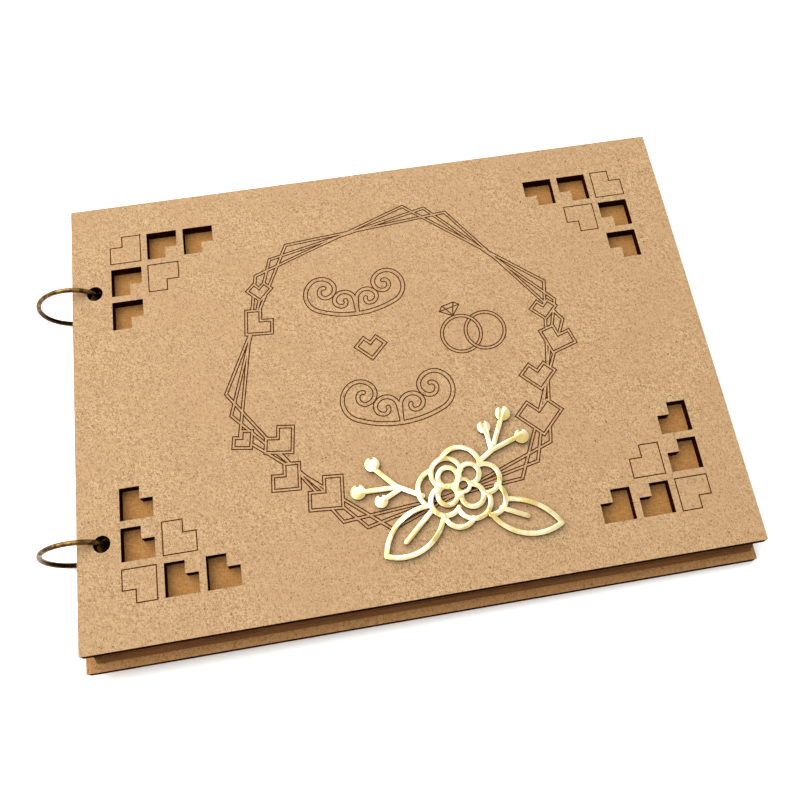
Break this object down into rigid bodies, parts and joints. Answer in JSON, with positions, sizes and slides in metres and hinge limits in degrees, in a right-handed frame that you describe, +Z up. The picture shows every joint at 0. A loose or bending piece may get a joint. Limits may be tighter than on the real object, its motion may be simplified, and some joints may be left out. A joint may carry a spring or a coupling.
{
  "type": "wedding guest book",
  "caption": "Guest book with two laser-cut board covers, loose card leaves and two hinged binder rings.",
  "frame": {"origin": "centre of the overall box in X and Y, at its lowest point, which is the bottom of the two rings", "axes": "+X from the rings to the fore edge, +Y to the head of the cover, +Z up through the closed book"},
  "size_m": [0.2668, 0.1844, 0.0289],
  "materials": {
    "cover_board": "raw medium-density fibreboard, laser cut, with scorched edges",
    "kraft_card": "uncoated kraft card",
    "gold_acrylic": "gold mirror acrylic sheet, laser cut",
    "bronze_wire": "antique bronze plated steel wire"
  },
  "bodies": {
    "root": {"back_cover": "cover_board"},
    "leaf_01": {"leaf_01": "kraft_card"},
    "leaf_02": {"leaf_02": "kraft_card"},
    "leaf_03": {"leaf_03": "kraft_card"},
    "leaf_04": {"leaf_04": "kraft_card"},
    "leaf_05": {"leaf_05": "kraft_card"},
    "leaf_06": {"leaf_06": "kraft_card"},
    "leaf_07": {"leaf_07": "kraft_card"},
    "leaf_08": {"leaf_08": "kraft_card"},
    "leaf_09": {"leaf_09": "kraft_card"},
    "leaf_10": {"leaf_10": "kraft_card"},
    "leaf_11": {"leaf_11": "kraft_card"},
    "leaf_12": {"leaf_12": "kraft_card"},
    "leaf_13": {"leaf_13": "kraft_card"},
    "leaf_14": {"leaf_14": "kraft_card"},
    "leaf_15": {"leaf_15": "kraft_card"},
    "leaf_16": {"leaf_16": "kraft_card"},
    "leaf_17": {"leaf_17": "kraft_card"},
    "leaf_18": {"leaf_18": "kraft_card"},
    "leaf_19": {"leaf_19": "kraft_card"},
    "leaf_20": {"leaf_20": "kraft_card"},
    "front_cover": {"front_cover": "cover_board", "gold_flower": "gold_acrylic"},
    "head_ring": {"head_ring_inner_half": "bronze_wire", "head_ring_hinge_pin": "bronze_wire"},
    "head_ring_gate": {"head_ring_outer_half": "bronze_wire"},
    "tail_ring": {"tail_ring_inner_half": "bronze_wire", "tail_ring_hinge_pin": "bronze_wire"},
    "tail_ring_gate": {"tail_ring_outer_half": "bronze_wire"}
  },
  "joints": [
    {"name": "turn_leaf_01", "type": "hinge", "parent": "root", "child": "leaf_01", "pos_m": [-0.11886, 0, 0.01445], "axis": [0, -1, 0], "range_deg": [0, 180]},
    {"name": "turn_leaf_02", "type": "hinge", "parent": "leaf_01", "child": "leaf_02", "pos_m": [-0.11886, 0, 0.01445], "axis": [0, -1, 0], "range_deg": [0, 180]},
    {"name": "turn_leaf_03", "type": "hinge", "parent": "leaf_02", "child": "leaf_03", "pos_m": [-0.11886, 0, 0.01445], "axis": [0, -1, 0], "range_deg": [0, 180]},
    {"name": "turn_leaf_04", "type": "hinge", "parent": "leaf_03", "child": "leaf_04", "pos_m": [-0.11886, 0, 0.01445], "axis": [0, -1, 0], "range_deg": [0, 180]},
    {"name": "turn_leaf_05", "type": "hinge", "parent": "leaf_04", "child": "leaf_05", "pos_m": [-0.11886, 0, 0.01445], "axis": [0, -1, 0], "range_deg": [0, 180]},
    {"name": "turn_leaf_06", "type": "hinge", "parent": "leaf_05", "child": "leaf_06", "pos_m": [-0.11886, 0, 0.01445], "axis": [0, -1, 0], "range_deg": [0, 180]},
    {"name": "turn_leaf_07", "type": "hinge", "parent": "leaf_06", "child": "leaf_07", "pos_m": [-0.11886, 0, 0.01445], "axis": [0, -1, 0], "range_deg": [0, 180]},
    {"name": "turn_leaf_08", "type": "hinge", "parent": "leaf_07", "child": "leaf_08", "pos_m": [-0.11886, 0, 0.01445], "axis": [0, -1, 0], "range_deg": [0, 180]},
    {"name": "turn_leaf_09", "type": "hinge", "parent": "leaf_08", "child": "leaf_09", "pos_m": [-0.11886, 0, 0.01445], "axis": [0, -1, 0], "range_deg": [0, 180]},
    {"name": "turn_leaf_10", "type": "hinge", "parent": "leaf_09", "child": "leaf_10", "pos_m": [-0.11886, 0, 0.01445], "axis": [0, -1, 0], "range_deg": [0, 180]},
    {"name": "turn_leaf_11", "type": "hinge", "parent": "leaf_10", "child": "leaf_11", "pos_m": [-0.11886, 0, 0.01445], "axis": [0, -1, 0], "range_deg": [0, 180]},
    {"name": "turn_leaf_12", "type": "hinge", "parent": "leaf_11", "child": "leaf_12", "pos_m": [-0.11886, 0, 0.01445], "axis": [0, -1, 0], "range_deg": [0, 180]},
    {"name": "turn_leaf_13", "type": "hinge", "parent": "leaf_12", "child": "leaf_13", "pos_m": [-0.11886, 0, 0.01445], "axis": [0, -1, 0], "range_deg": [0, 180]},
    {"name": "turn_leaf_14", "type": "hinge", "parent": "leaf_13", "child": "leaf_14", "pos_m": [-0.11886, 0, 0.01445], "axis": [0, -1, 0], "range_deg": [0, 180]},
    {"name": "turn_leaf_15", "type": "hinge", "parent": "leaf_14", "child": "leaf_15", "pos_m": [-0.11886, 0, 0.01445], "axis": [0, -1, 0], "range_deg": [0, 180]},
    {"name": "turn_leaf_16", "type": "hinge", "parent": "leaf_15", "child": "leaf_16", "pos_m": [-0.11886, 0, 0.01445], "axis": [0, -1, 0], "range_deg": [0, 180]},
    {"name": "turn_leaf_17", "type": "hinge", "parent": "leaf_16", "child": "leaf_17", "pos_m": [-0.11886, 0, 0.01445], "axis": [0, -1, 0], "range_deg": [0, 180]},
    {"name": "turn_leaf_18", "type": "hinge", "parent": "leaf_17", "child": "leaf_18", "pos_m": [-0.11886, 0, 0.01445], "axis": [0, -1, 0], "range_deg": [0, 180]},
    {"name": "turn_leaf_19", "type": "hinge", "parent": "leaf_18", "child": "leaf_19", "pos_m": [-0.11886, 0, 0.01445], "axis": [0, -1, 0], "range_deg": [0, 180]},
    {"name": "turn_leaf_20", "type": "hinge", "parent": "leaf_19", "child": "leaf_20", "pos_m": [-0.11886, 0, 0.01445], "axis": [0, -1, 0], "range_deg": [0, 180]},
    {"name": "open_front_cover", "type": "hinge", "parent": "leaf_20", "child": "front_cover", "pos_m": [-0.11886, 0, 0.01445], "axis": [0, -1, 0], "range_deg": [0, 180]},
    {"name": "slide_head_ring", "type": "hinge", "parent": "root", "child": "head_ring", "pos_m": [-0.11886, 0.05225, 0.01445], "axis": [0, -0.9962, 0.0872], "range_deg": [-60, 4]},
    {"name": "open_head_ring", "type": "hinge", "parent": "head_ring", "child": "head_ring_gate", "pos_m": [-0.11253, 0.05121, 0.00257], "axis": [0, 0.9962, -0.0872], "range_deg": [-70, 0]},
    {"name": "slide_tail_ring", "type": "hinge", "parent": "root", "child": "tail_ring", "pos_m": [-0.11886, -0.04985, 0.01445], "axis": [0, -0.9962, 0.0872], "range_deg": [-60, 4]},
    {"name": "open_tail_ring", "type": "hinge", "parent": "tail_ring", "child": "tail_ring_gate", "pos_m": [-0.11253, -0.05089, 0.00257], "axis": [0, 0.9962, -0.0872], "range_deg": [-70, 0]}
  ]
}
